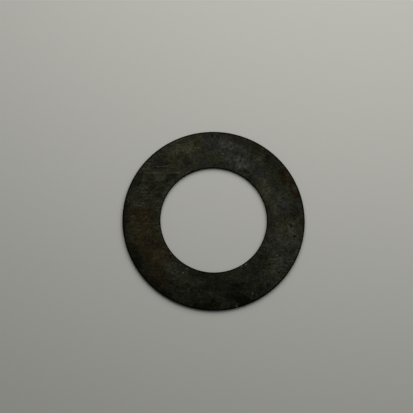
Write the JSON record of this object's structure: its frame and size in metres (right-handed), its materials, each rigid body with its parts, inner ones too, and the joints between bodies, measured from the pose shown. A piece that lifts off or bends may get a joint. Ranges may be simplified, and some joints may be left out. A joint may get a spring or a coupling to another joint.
{
  "type": "flat washer",
  "caption": "Thin round flat washer of blackened steel. It goes over a bolt or shaft, spreads the load under a head or nut, and takes up end play.",
  "frame": {"origin": "centre of the bore, in the plane of the underside", "axes": "+Z along the bore's axis, from the underside to the face with the rolled edges; X and Y lie in the underside"},
  "size_m": [0.048, 0.048, 0.0008],
  "materials": {
    "blackened_steel": "blackened, worn and stained: dull dark grey oxide with brown stains, small pits, fine scratches and bare metal at a few edge nicks"
  },
  "bodies": {
    "root": {"washer": "blackened_steel"}
  },
  "joints": []
}
